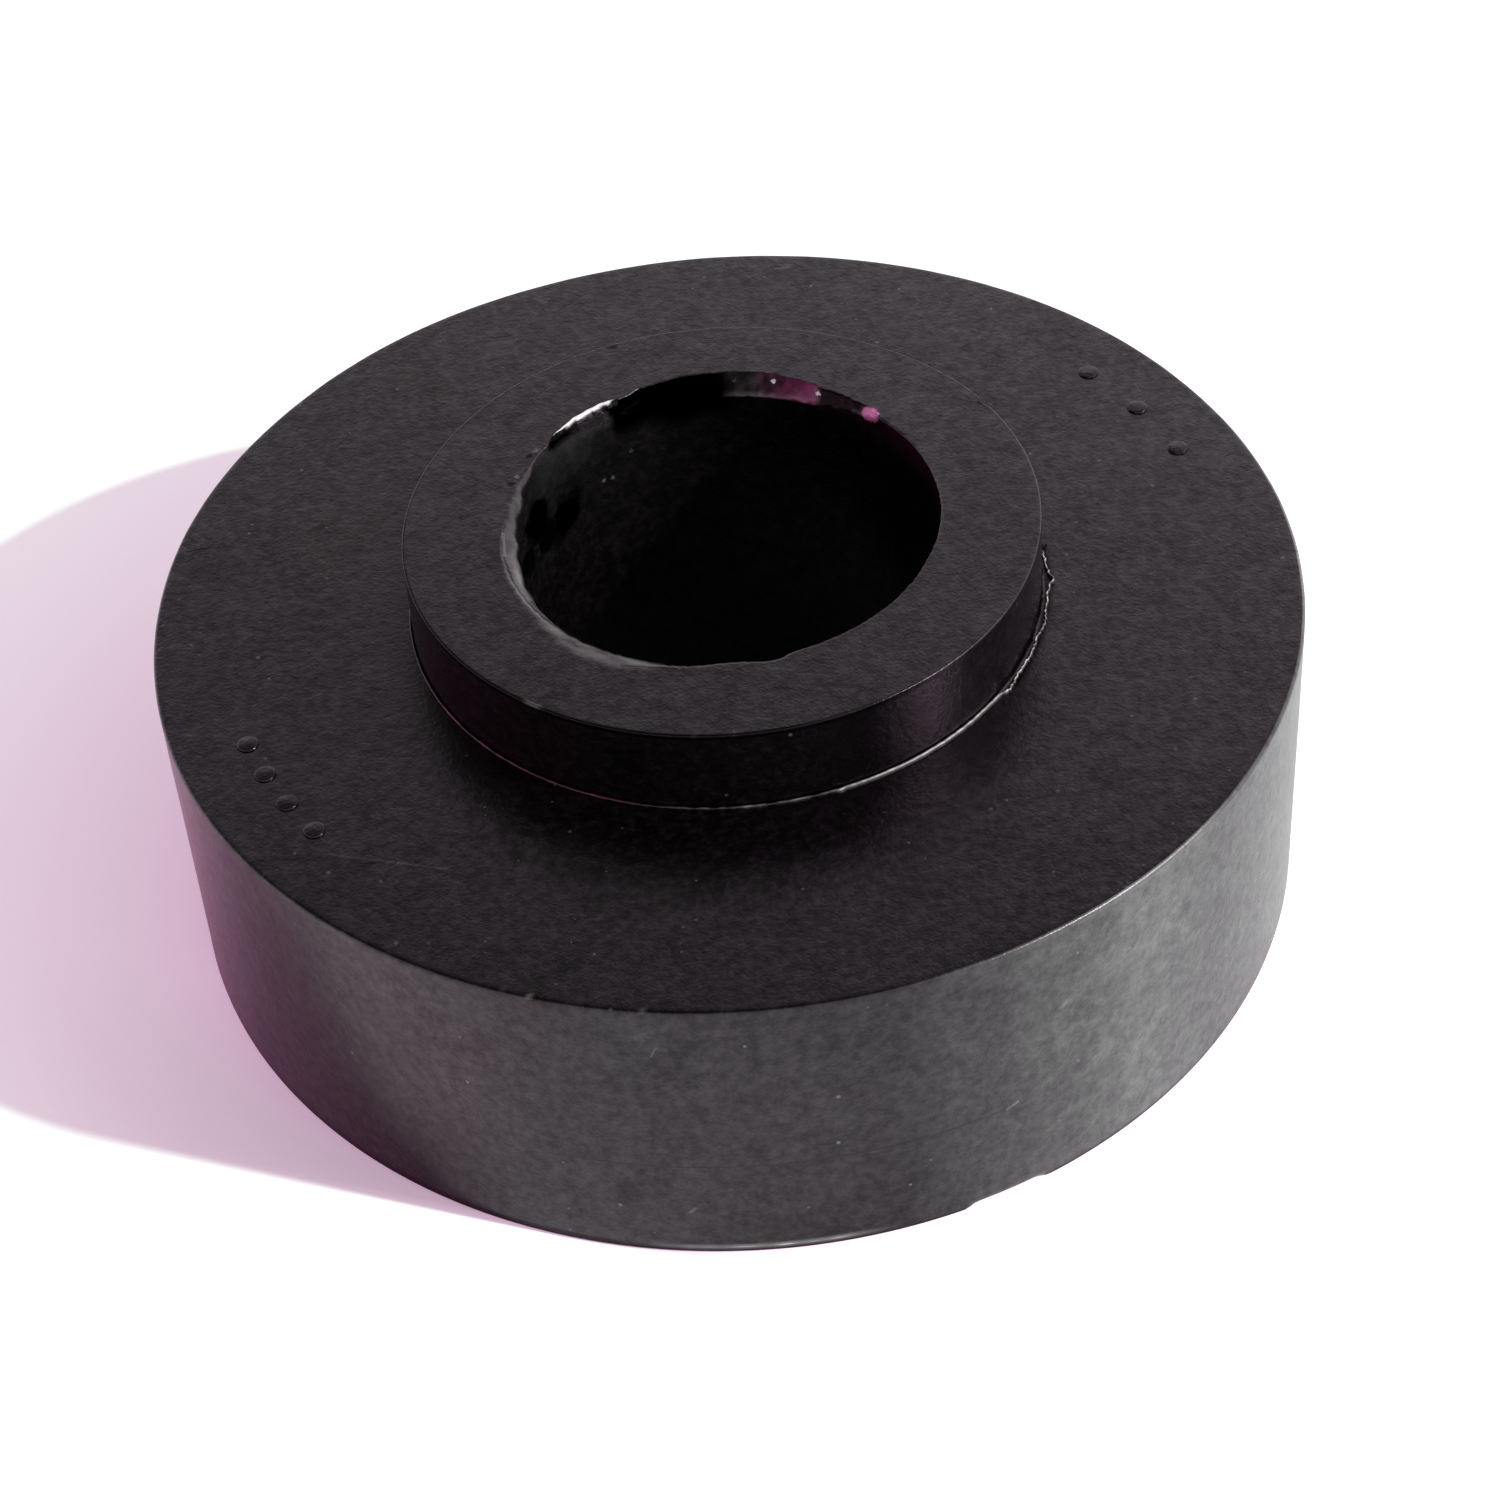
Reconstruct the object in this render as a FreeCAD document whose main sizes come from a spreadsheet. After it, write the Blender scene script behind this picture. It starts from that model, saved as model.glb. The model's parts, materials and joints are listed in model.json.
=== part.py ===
import FreeCAD, Part
import os
import Sketcher

# Body mount cushion: one solid piece of moulded rubber.
# A thick disc carries the load. A raised round boss on its upper face drops into the hole of the
# bracket above, and a plain bore for the clamping bolt and its sleeve runs through both.
# Origin: on the axis of the bore, at the centre of the lower face. +Z runs up through the boss.

# Driving sizes: millimetres, and degrees counted from +X towards +Y
SIZES = [
    ("outer_diameter", 63.5, "disc, across its side wall"),
    ("disc_thickness", 18.5, "lower face to upper face"),
    ("boss_diameter", 34.8, "locating boss, across its wall"),
    ("boss_height", 5.1, "upper face to the top of the boss"),
    ("bore_diameter", 24.0, "straight bore through disc and boss"),
    ("upper_rim_radius", 0.25, "rounding where side wall and upper face meet"),
    ("lower_rim_radius", 0.45, "rounding where side wall and lower face meet"),
    ("boss_rim_radius", 0.20, "rounding round the top of the boss"),
    ("lower_lip_chamfer", 0.50, "chamfer of the bore at the lower face"),
    ("flash_width", 0.40, "fin of flash at the foot of the boss, out along the upper face"),
    ("flash_height", 0.35, "the same fin, up the wall of the boss"),
    ("flash_tip", 0.10, "the flat left on top of the fin"),
    ("lip_bevel_least", 0.15, "bevel of the bore at the top of the boss, on its sound side"),
    ("lip_bevel_most", 0.75, "the same bevel, on its worn side"),
    ("worn_side", 203.0, "direction from the axis to the middle of the worn side"),
    ("tear_direction", 89.0, "direction from the axis to the torn place in the lip"),
    ("tear_depth", 0.70, "how far the torn place reaches outside the bore"),
    ("tear_hollow", 8.60, "radius of the torn place, seen from above"),
    ("tear_height", 0.90, "how far the torn place reaches down the bore"),
]
TOLERANCE = 1e-4

doc = FreeCAD.newDocument("body_mount_cushion")
sheet = doc.addObject("Spreadsheet::Sheet", "Sizes")
for row, (alias, value, note) in enumerate(SIZES, start=1):
    sheet.set("A%d" % row, note)
    sheet.set("B%d" % row, str(value))
    sheet.setAlias("B%d" % row, alias)
doc.recompute()

# Sketch geometry is addressed by number: the origin and the level axis have fixed ones
ORIGIN = (-1, 1)
LEVEL_AXIS = -1
START = 1
END = 2
CENTRE = 3


def size(expression):
    """What an expression on the sheet comes to."""
    return float(sheet.evalExpression(expression))


def new_sketch(body, name, role, turn_axis=None, turned=None, raised=None):
    """Empty sketch on an origin plane, turned about one of its own axes and raised if asked."""
    plane = [feature for feature in body.Origin.OriginFeatures if feature.Role == role][0]
    sketch = body.newObject("Sketcher::SketchObject", name)
    sketch.AttachmentSupport = [(plane, "")]
    sketch.MapMode = "FlatFace"
    if turned:
        turn = FreeCAD.Rotation(turn_axis, size(turned))
        sketch.AttachmentOffset = FreeCAD.Placement(FreeCAD.Vector(), turn)
        sketch.setExpression("AttachmentOffset.Rotation.Angle", turned)
    if raised:
        sketch.setExpression("AttachmentOffset.Base.z", raised)
    return sketch


def draw_outline(sketch, corners):
    """Closed outline through the corners. Its level and upright sides are held so."""
    first = sketch.GeometryCount
    count = len(corners)
    for index in range(count):
        start = FreeCAD.Vector(*corners[index], 0)
        end = FreeCAD.Vector(*corners[(index + 1) % count], 0)
        side = sketch.addGeometry(Part.LineSegment(start, end))
        if start.y == end.y:
            sketch.addConstraint(Sketcher.Constraint("Horizontal", side))
        elif start.x == end.x:
            sketch.addConstraint(Sketcher.Constraint("Vertical", side))
    for index in range(count):
        following = first + (index + 1) % count
        sketch.addConstraint(Sketcher.Constraint("Coincident", first + index, END, following, START))
    return range(first, first + count)


def bind(sketch, name, expression, kind, *places):
    """Named size in a sketch, tied to the sheet."""
    places = [number for place in places for number in place]
    at = sketch.addConstraint(Sketcher.Constraint(kind, *places, size(expression)))
    sketch.renameConstraint(at, name)
    sketch.setExpression("Constraints." + name, expression)


def round_edges(feature, radius, height):
    """Names of the circular edges round the axis that have this radius and height."""
    names = []
    for number, edge in enumerate(feature.Shape.Edges, start=1):
        if edge.Curve.TypeId != "Part::GeomCircle":
            continue
        same_radius = abs(edge.Curve.Radius - radius) < TOLERANCE
        same_height = abs(edge.Curve.Center.z - height) < TOLERANCE
        if same_radius and same_height:
            names.append("Edge%d" % number)
    return names


def ease_edge(body, kind, name, radius, height, size_property, alias):
    """Fillet or chamfer on the round edge at a radius and a height."""
    base = body.Tip
    feature = body.newObject("PartDesign::" + kind, name)
    feature.Base = (base, round_edges(base, size(radius), size(height)))
    feature.setExpression(size_property, "Sizes." + alias)
    doc.recompute()


# The cushion: every feature below belongs to this one moulded piece
cushion = doc.addObject("PartDesign::Body", "Cushion")
cushion.Label = "cushion"
BORE_RADIUS = "Sizes.bore_diameter / 2"
OUTER_RADIUS = "Sizes.outer_diameter / 2"
BOSS_RADIUS = "Sizes.boss_diameter / 2"
UPPER_FACE = "Sizes.disc_thickness"
BOSS_TOP = "Sizes.disc_thickness + Sizes.boss_height"

# Disc and boss: half of the section, turned once round the axis
half_section = new_sketch(cushion, "half_section", "XZ_Plane")
sides = draw_outline(half_section, [
    (size(BORE_RADIUS), 0),
    (size(OUTER_RADIUS), 0),
    (size(OUTER_RADIUS), size(UPPER_FACE)),
    (size(BOSS_RADIUS), size(UPPER_FACE)),
    (size(BOSS_RADIUS), size(BOSS_TOP)),
    (size(BORE_RADIUS), size(BOSS_TOP)),
])
lower_face, side_wall, upper_face, boss_wall, boss_top, bore_wall = sides
half_section.addConstraint(Sketcher.Constraint("PointOnObject", lower_face, START, LEVEL_AXIS))
bind(half_section, "bore_wall", BORE_RADIUS, "DistanceX", ORIGIN, (lower_face, START))
bind(half_section, "side_wall", OUTER_RADIUS, "DistanceX", ORIGIN, (side_wall, START))
bind(half_section, "boss_wall", BOSS_RADIUS, "DistanceX", ORIGIN, (boss_wall, START))
bind(half_section, "upper_face", UPPER_FACE, "DistanceY", ORIGIN, (upper_face, START))
bind(half_section, "boss_top", BOSS_TOP, "DistanceY", ORIGIN, (boss_top, START))
disc_and_boss = cushion.newObject("PartDesign::Revolution", "disc_and_boss")
disc_and_boss.Profile = half_section
disc_and_boss.ReferenceAxis = (half_section, ["V_Axis"])
doc.recompute()

# Flash: the low fin of rubber that the mould leaves in the corner at the foot of the boss
flash_section = new_sketch(cushion, "flash_section", "XZ_Plane")
FLASH_EDGE = BOSS_RADIUS + " + Sizes.flash_width"
FLASH_TIP = BOSS_RADIUS + " + Sizes.flash_tip"
FLASH_TOP = UPPER_FACE + " + Sizes.flash_height"
sides = draw_outline(flash_section, [
    (size(BOSS_RADIUS), size(UPPER_FACE)),
    (size(FLASH_EDGE), size(UPPER_FACE)),
    (size(FLASH_TIP), size(FLASH_TOP)),
    (size(BOSS_RADIUS), size(FLASH_TOP)),
])
fin_foot, fin_slope, fin_top, fin_back = sides
bind(flash_section, "back", BOSS_RADIUS, "DistanceX", ORIGIN, (fin_foot, START))
bind(flash_section, "edge", FLASH_EDGE, "DistanceX", ORIGIN, (fin_slope, START))
bind(flash_section, "tip", FLASH_TIP, "DistanceX", ORIGIN, (fin_top, START))
bind(flash_section, "foot", UPPER_FACE, "DistanceY", ORIGIN, (fin_foot, START))
bind(flash_section, "top", FLASH_TOP, "DistanceY", ORIGIN, (fin_top, START))
foot_flash = cushion.newObject("PartDesign::Revolution", "foot_flash")
foot_flash.Profile = flash_section
foot_flash.ReferenceAxis = (flash_section, ["V_Axis"])
doc.recompute()

# Edges: the mould rounds the three rims, and the bore opens with a chamfer at the lower face
ease_edge(cushion, "Fillet", "upper_rim", OUTER_RADIUS, UPPER_FACE, "Radius", "upper_rim_radius")
ease_edge(cushion, "Fillet", "lower_rim", OUTER_RADIUS, "0", "Radius", "lower_rim_radius")
ease_edge(cushion, "Fillet", "boss_rim", BOSS_RADIUS, BOSS_TOP, "Radius", "boss_rim_radius")
ease_edge(cushion, "Chamfer", "lower_lip", BORE_RADIUS, "0", "Size", "lower_lip_chamfer")

# Lip bevel: a 45 degree cone whose axis lies a little off the bore, towards the worn side,
# so that the bevel round the mouth of the bore swells from its least to its most width
bevel_section = new_sketch(
    cushion, "bevel_section", "XZ_Plane", FreeCAD.Vector(0, 1, 0), "Sizes.worn_side")
BEVEL_SHIFT = "(Sizes.lip_bevel_most - Sizes.lip_bevel_least) / 2"
BEVEL_RIM = BORE_RADIUS + " + Sizes.lip_bevel_most"
BEVEL_DEPTH = "2 * Sizes.lip_bevel_most"
BEVEL_FLOOR = BOSS_TOP + " - " + BEVEL_DEPTH
sides = draw_outline(bevel_section, [
    (size(BEVEL_SHIFT), size(BEVEL_FLOOR)),
    (size(BEVEL_RIM) - size(BEVEL_DEPTH), size(BEVEL_FLOOR)),
    (size(BEVEL_RIM), size(BOSS_TOP)),
    (size(BEVEL_SHIFT), size(BOSS_TOP)),
])
cone_floor, cone_wall, cone_top, cone_axis = sides
bind(bevel_section, "shift", BEVEL_SHIFT, "DistanceX", ORIGIN, (cone_floor, START))
bind(bevel_section, "rim", BEVEL_RIM, "DistanceX", ORIGIN, (cone_top, START))
bind(bevel_section, "top", BOSS_TOP, "DistanceY", ORIGIN, (cone_top, START))
bind(bevel_section, "run", BEVEL_DEPTH, "DistanceX", (cone_wall, START), (cone_wall, END))
bind(bevel_section, "depth", BEVEL_DEPTH, "DistanceY", (cone_wall, START), (cone_wall, END))
axis_line = bevel_section.addGeometry(Part.LineSegment(
    FreeCAD.Vector(size(BEVEL_SHIFT), size(BEVEL_FLOOR), 0),
    FreeCAD.Vector(size(BEVEL_SHIFT), size(BOSS_TOP), 0)), True)
bevel_section.addConstraint(Sketcher.Constraint("Coincident", axis_line, START, cone_axis, END))
bevel_section.addConstraint(Sketcher.Constraint("Coincident", axis_line, END, cone_axis, START))
volume_before_bevel = cushion.Tip.Shape.Volume
lip_bevel = cushion.newObject("PartDesign::Groove", "lip_bevel")
lip_bevel.Profile = bevel_section
lip_bevel.ReferenceAxis = (bevel_section, ["Axis0"])
doc.recompute()

# Torn place: a shallow round bite out of the lip, where a rag of rubber came away
tear_outline = new_sketch(
    cushion, "tear_outline", "XY_Plane", FreeCAD.Vector(0, 0, 1), "Sizes.tear_direction", BOSS_TOP)
TEAR_CENTRE = BORE_RADIUS + " + Sizes.tear_depth - Sizes.tear_hollow"
bite = tear_outline.addGeometry(Part.Circle(
    FreeCAD.Vector(size(TEAR_CENTRE), 0, 0), FreeCAD.Vector(0, 0, 1), size("Sizes.tear_hollow")))
tear_outline.addConstraint(Sketcher.Constraint("PointOnObject", bite, CENTRE, LEVEL_AXIS))
bind(tear_outline, "centre", TEAR_CENTRE, "DistanceX", ORIGIN, (bite, CENTRE))
bind(tear_outline, "hollow", "Sizes.tear_hollow", "Radius", (bite,))
volume_before_tear = cushion.Tip.Shape.Volume
torn_place = cushion.newObject("PartDesign::Pocket", "torn_place")
torn_place.Profile = tear_outline
torn_place.setExpression("Length", "Sizes.tear_height")
doc.recompute()

# Nothing is written unless every feature worked, both cuts bit and the piece is one sound solid
for item in doc.Objects:
    if "Invalid" in item.State or "Error" in item.State:
        raise RuntimeError("failed: " + item.Label)
    if item.TypeId == "Sketcher::SketchObject" and not item.FullyConstrained:
        raise RuntimeError("loose sketch: " + item.Label)
if lip_bevel.Shape.Volume >= volume_before_bevel:
    raise RuntimeError("the lip bevel cuts nothing")
if torn_place.Shape.Volume >= volume_before_tear:
    raise RuntimeError("the torn place cuts nothing")

os.makedirs("parts", exist_ok=True)
for piece in doc.findObjects("PartDesign::Body"):
    if piece.Shape.isNull() or not piece.Shape.isValid() or len(piece.Shape.Solids) != 1:
        raise RuntimeError("no sound solid: " + piece.Label)
    piece.Shape.exportStep("parts/%s.step" % piece.Label)
    box = piece.Shape.optimalBoundingBox(False)
    print(piece.Label, "%.1f x %.1f x %.1f mm" % (box.XLength, box.YLength, box.ZLength),
          "%.1f cm3" % (piece.Shape.Volume / 1000))
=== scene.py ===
import bmesh
import bpy
import json
import math
from mathutils import Matrix, Vector, noise


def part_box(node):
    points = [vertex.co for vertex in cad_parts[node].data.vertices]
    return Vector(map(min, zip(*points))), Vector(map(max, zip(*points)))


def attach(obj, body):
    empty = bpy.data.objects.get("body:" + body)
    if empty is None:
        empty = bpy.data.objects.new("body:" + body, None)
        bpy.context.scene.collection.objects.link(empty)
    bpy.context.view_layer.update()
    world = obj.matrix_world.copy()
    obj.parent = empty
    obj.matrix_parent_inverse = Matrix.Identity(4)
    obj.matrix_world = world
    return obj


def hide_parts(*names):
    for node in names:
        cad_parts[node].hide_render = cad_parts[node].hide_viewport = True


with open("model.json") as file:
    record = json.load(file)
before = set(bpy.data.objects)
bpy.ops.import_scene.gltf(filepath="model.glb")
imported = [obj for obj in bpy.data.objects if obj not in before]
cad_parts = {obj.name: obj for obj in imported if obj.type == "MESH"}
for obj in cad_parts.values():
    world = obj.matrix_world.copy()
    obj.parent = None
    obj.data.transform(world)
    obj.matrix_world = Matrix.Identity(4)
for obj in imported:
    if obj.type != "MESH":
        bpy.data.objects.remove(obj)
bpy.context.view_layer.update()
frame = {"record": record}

MM = 0.001


# Cushion body
# One moulding of black rubber: a thick disc, a locating boss and a straight bore. It is pressed in a
# steel mould, so its edges are crisp, and the mouth of the bore is worn on one side and torn behind.
mounts = {mount["name"]: mount for mount in frame["record"]["mounts"]}
bore_radius = mounts["bore"]["dims"]["r_mm"] * MM
boss_radius = mounts["locating_boss"]["dims"]["r_mm"] * MM
disc_top = mounts["upper_seat"]["pos_m"][2]
disc_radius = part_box("cushion")[1].x
boss_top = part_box("cushion")[1].z

SPIN_STEPS = 690

# Mesh segments across each kind of corner
CHAMFER, ROUND, PLAIN = 1, 5, 0

# Half of the section: each corner's radius, height, rounding, kind, and how fine the mesh is beside it
section = [
    (bore_radius, 0, 0.50 * MM, CHAMFER, 0.50 * MM),
    (disc_radius, 0, 0.16 * MM, ROUND, 0.18 * MM),
    (disc_radius, disc_top, 0.20 * MM, ROUND, 0.22 * MM),
    (boss_radius, disc_top, 0, PLAIN, 0.22 * MM),
    (boss_radius, boss_top, 0.09 * MM, ROUND, 0.12 * MM),
    (bore_radius + 1.3 * MM, boss_top, 0, PLAIN, 0.13 * MM),
    (bore_radius, boss_top, 0.08 * MM, ROUND, 0.06 * MM),
    (bore_radius, boss_top - 1.1 * MM, 0, PLAIN, 0.14 * MM),
]
COARSENING = 0.5
WIDEST_SPACING = 1.4 * MM

body = bmesh.new()
corners = [body.verts.new((radius, 0, height)) for radius, height, _, _, _ in section]
half = body.faces.new(corners)
for corner, (_, _, rounding, segments, _) in zip(corners, section):
    if segments:
        bmesh.ops.bevel(body, geom=[corner], offset=rounding, offset_type="OFFSET", segments=segments,
                        profile=0.5, affect="VERTICES", material=-1)
bmesh.ops.delete(body, geom=list(body.faces), context="FACES_ONLY")


def spacing_beside(point):
    """Longest mesh edge allowed at a point of the section: fine at a corner, coarser away from it."""
    nearby = [fineness + COARSENING * (point - Vector((radius, 0, height))).length
              for radius, height, _, _, fineness in section]
    return min(WIDEST_SPACING, min(nearby))


while True:
    too_long = [edge for edge in body.edges
                if edge.calc_length() > spacing_beside((edge.verts[0].co + edge.verts[1].co) / 2)]
    if not too_long:
        break
    bmesh.ops.subdivide_edges(body, edges=too_long, cuts=1)
bmesh.ops.spin(body, geom=list(body.verts) + list(body.edges), axis=(0, 0, 1), cent=(0, 0, 0),
               steps=SPIN_STEPS, angle=math.tau, use_merge=True, use_duplicate=False)
bmesh.ops.remove_doubles(body, verts=list(body.verts), dist=0.001 * MM)
bmesh.ops.recalc_face_normals(body, faces=list(body.faces))


def between(turn, start, end, soft):
    """1 between two directions in degrees, going anticlockwise, and fading to 0 over soft degrees."""
    half_width = ((end - start) % 360) / 2
    off = abs((turn - start - half_width + 180) % 360 - 180) - half_width
    return min(1, max(0, 0.5 - off / soft))


def ripple(turn, detail, seed):
    """Smooth random value round the ring, from about -1 to 1, the same on each run."""
    angle = math.radians(turn)
    return 2 * noise.noise(Vector((detail * math.cos(angle), detail * math.sin(angle), seed)))


def along(turn, outline):
    """Value at a direction, eased between the (direction, value) points of a closed outline."""
    for (start, value), (end, next_value) in zip(outline, outline[1:] + outline[:1]):
        step = (turn - start) % 360 / ((end - start) % 360)
        if step < 1:
            return value + (next_value - value) * (0.5 - 0.5 * math.cos(math.pi * step))
    return outline[0][1]


# Mouth of the bore, in mm by direction: how far its edge stands outside the bore, how deep the worn
# or torn face goes, how far the lip swells inward, and how wide the flat worn patch beside it is
MOUTH_EDGE = [(4, -0.05), (38, 0.03), (47, 0.36), (60, 0.50), (66, 0.78), (78, 1.10), (97, 1.05),
              (107, 0.80), (115, 0.45), (118, 0.68), (127, 0.66), (136, 0.40), (141, 0.05), (155, -0.15),
              (170, -0.30), (186, 0.00), (258, 0.05), (270, -0.22), (281, 0.08), (287, -0.20), (330, -0.18)]
FACE_DEPTH = [(36, 0.15), (48, 0.50), (60, 0.80), (88, 0.85), (114, 0.95), (118, 1.30), (134, 1.20),
              (142, 0.30)]
INWARD_SWELL = [(142, 0.0), (156, 0.50), (166, 0.85), (178, 0.92), (192, 0.85), (202, 0.60), (214, 0.32),
                (229, 0.0)]
FLAT_PATCH = [(160, 0.0), (188, 0.06), (198, 0.20), (210, 0.28), (220, 0.55), (228, 0.92), (234, 1.18),
              (241, 1.12), (248, 0.62), (254, 0.20), (262, 0.10), (284, 0.09), (294, 0.0)]
LIP_PALENESS = [(150, 0.0), (168, 0.03), (180, 0.07), (198, 0.22), (224, 0.27), (240, 0.23), (250, 0.18),
                (262, 0.22), (280, 0.20), (290, 0.08), (296, 0.0)]
# Side by direction: a chalky bloom, with painted light strongest on the side facing the lamp
SIDE_BLOOM_AND_LIGHT = [(281, 0.0), (290, 0.21), (300, 0.48), (310, 0.90), (321, 0.46), (330, 0.42), (342, 0.92),
              (355, 1.50), (5, 1.20), (22, 0.65), (45, 0.30), (75, 0.0)]
SWELL_DEPTH = 0.50 * MM
SWELL_END = 1.60 * MM
MOUTH_SPAN = 2.8 * MM
LIP_FADE = 0.60 * MM
CRESCENT_DROP = 0.19 * MM
TEAR_DEEP = 2.9 * MM
RIM_SCUFFS = (140.8, 247.0, 249.4, 259.7)
SHAVING_HEIGHT = 0.40 * MM
FLAT_FOOT = 0.6 * MM


def unevenness(place):
    """How far the rubber stands off the form of its mould at a place, as it never cools quite flat."""
    return noise.noise(place / (14 * MM)) * 0.05 * MM + noise.noise(place / (2.2 * MM)) * 0.008 * MM


def mouth_face(turn, down):
    """Where the worn or torn face of the mouth stands outside the bore, at a depth below the boss."""
    edge = along(turn, MOUTH_EDGE) * MM
    left = 1 - down / (along(turn, FACE_DEPTH) * MM)
    cliff = between(turn, 88, 115, 2)
    crescent = between(turn, 116.5, 138, 3)
    face = edge * (cliff * min(1, max(0, left / 0.15)) + (1 - cliff) * max(0, left))
    return face + crescent * (max(edge - down, 0.62 * edge * max(0, left)) - face)


def lip_swell(down):
    """Share of the inward swell at a depth below the boss: out quickly, then slowly back."""
    if down < SWELL_DEPTH:
        return math.sin(math.pi / 2 * max(0, down) / SWELL_DEPTH)
    return max(0, 0.5 + 0.5 * math.cos(math.pi * min(1, (down - SWELL_DEPTH) / (SWELL_END - SWELL_DEPTH))))


def tear_state(turn, out, down, crumb):
    """Paleness, painted shade, painted pink and polish of the tear and its rags, and a painted highlight on
    the crescent beside them.
    """
    wear_and_highlight = painted_shade = painted_pink = polish = 0.0
    if out < 1.2 * MM and 0.01 * MM < down < 1.15 * along(turn, FACE_DEPTH) * MM:
        # Painted highlight: the crescent is painted pale and polished where the lamp glints on the mouth's
        # bevel, with painted shade below it
        taper = min(1, max(0.05, (138 - turn) / 12)) * between(turn, 117, 140, 2)
        crescent = min(1, max(0, 4 - 4 * down / (CRESCENT_DROP * max(0.01, taper))))
        wear_and_highlight += crescent
        polish += crescent
        below = min(1, max(0, (0.8 * MM - down) / (0.4 * MM)))
        painted_shade += 0.95 * between(turn, 117, 141, 2) * (1 - crescent) * below
        grey_rag = between(turn, 74, 88, 4)
        wear_and_highlight += grey_rag * max(0, 0.012 + 0.10 * crumb)
        # Painted pink cast on the pink rag, and painted pink with painted shade on the maroon stretch
        pink_rag = between(turn, 60.5, 78, 2)
        painted_pink += pink_rag * (0.64 - 0.58 * min(1, max(0, (turn - 61) / 14)) ** 0.7 + 0.14 * crumb)
        maroon = between(turn, 46.5, 60.5, 2)
        painted_pink += 0.16 * maroon
        painted_shade += 0.88 * maroon
    # Painted shade: the torn recess behind the mouth is painted black
    deep = min(1, max(0, (TEAR_DEEP + 0.5 * MM * ripple(turn, 5, 5.8) - down) / (1.3 * MM)))
    black = between(turn, 86, 116.5, 2.5) * (down > 0.03 * MM)
    black = max(black, between(turn, 84, 118.5, 7 if turn < 100 else 2) * (down > 0.28 * MM))
    painted_shade += black * deep
    if down < 0.05 * MM and out < 0.1 * MM:
        wear_and_highlight += 0.09 * between(turn, 350, 24, 16)
    return Vector((wear_and_highlight, painted_shade, painted_pink, polish))


def worn_mouth(place, turn, out, down):
    """Worn or torn place of a point of the mouth, outside the bore and below the boss, and its state."""
    depth = along(turn, FACE_DEPTH) * MM
    streak = noise.noise(Vector((turn * 0.12, down / (0.13 * MM), out / (0.17 * MM))))
    crumb = noise.noise(place / (0.42 * MM))
    shift = mouth_face(turn, down) + crumb * 0.07 * MM * between(turn, 47, 89, 3) * (down < 1.3 * depth)
    shift += 0.03 * MM * ripple(turn, 34, 4.4) * max(0, 1 - down / depth)
    shift -= along(turn, INWARD_SWELL) * MM * lip_swell(down) * (1 + 0.08 * ripple(turn, 10, 2.9))
    patch = along(turn, FLAT_PATCH) * MM * (1 + 0.07 * ripple(turn, 12, 6.6))
    paleness = along(turn, LIP_PALENESS) * (0.75 + 1.5 * streak)
    wear_and_highlight = 0.0
    if down < 0.02 * MM and out < patch:
        down += 0.08 * MM * (1 - out / patch)
        wear_and_highlight = paleness * min(1, (patch - out) / (0.20 * MM))
    elif -0.02 * MM < down < LIP_FADE and out < 0.10 * MM:
        wear_and_highlight = paleness * min(1, (LIP_FADE - down) / (0.20 * MM))
    out += shift * max(0, 1 - out / MOUTH_SPAN)
    return out, down, tear_state(turn, out, down, crumb) + Vector((wear_and_highlight, 0, 0, 0))


def bore_state(turn, down):
    """State of the bore's wall: a painted pink reflection on the right and hazy on the left, less so farther
    down.
    """
    wear_and_highlight = 0.058 * between(turn, 125, 149, 6) * max(0, 1 - down / (3.6 * MM))
    wear_and_highlight += 0.030 * between(turn, 95, 215, 30) * max(0, 1 - down / (13 * MM))
    # Painted pink reflection on the right wall of the bore
    painted_pink = 0.10 * between(turn, 330, 42, 25) * max(0, 1 - down / (2.0 * MM))
    return Vector((wear_and_highlight, 0, painted_pink, 0))


def rubbed_boss(turn, radius, height):
    """New radius and state of the boss: painted shade on its rim and wall, a painted pink cast on its wall
    at the left, a rim rubbed pale on the right, partly a painted highlight, a painted highlight at the front
    left, and a nick behind.
    """
    wear_and_highlight = painted_shade = painted_pink = 0.0
    down = boss_top - height
    on_rim = abs(radius - boss_radius) < 0.12 * MM
    # Painted shade on the rim, to dull the lamp's glints there
    if on_rim and down < 0.30 * MM:
        painted_shade += 0.75 * between(turn, 110, 284, 14) + 0.25 * between(turn, 284, 20, 20)
        painted_shade += 0.75 * between(turn, 20, 110, 20)
    if on_rim and down < 0.12 * MM:
        wear_and_highlight += 0.04 * between(turn, 300, 335, 25) * max(0, 1 + ripple(turn, 150, 3.4))
        # Painted highlight: a white bit on the rim at the front left; a pale spot behind
        wear_and_highlight += 0.75 * between(turn, 231.5, 235, 1) + 0.30 * between(turn, 83, 86, 1)
        wear_and_highlight += 0.40 * between(turn, 262, 276, 3) * max(0, ripple(turn, 60, 7.1) - 0.2)
        nick = between(turn, 28, 30, 1.4)
        radius -= 0.16 * MM * nick
        painted_shade += nick
    if boss_radius - 0.02 * MM < radius < boss_radius + 1 * MM and height > disc_top + 0.1 * MM:
        # Painted pink cast on the wall at the left, and painted shade on the wall at the front right to dull
        # the lamp's highlight
        painted_pink += 0.048 * between(turn, 150, 222, 50)
        painted_shade += 0.60 * between(turn, 286, 311, 14)
    return radius, Vector((wear_and_highlight, painted_shade, painted_pink, 0))


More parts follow.
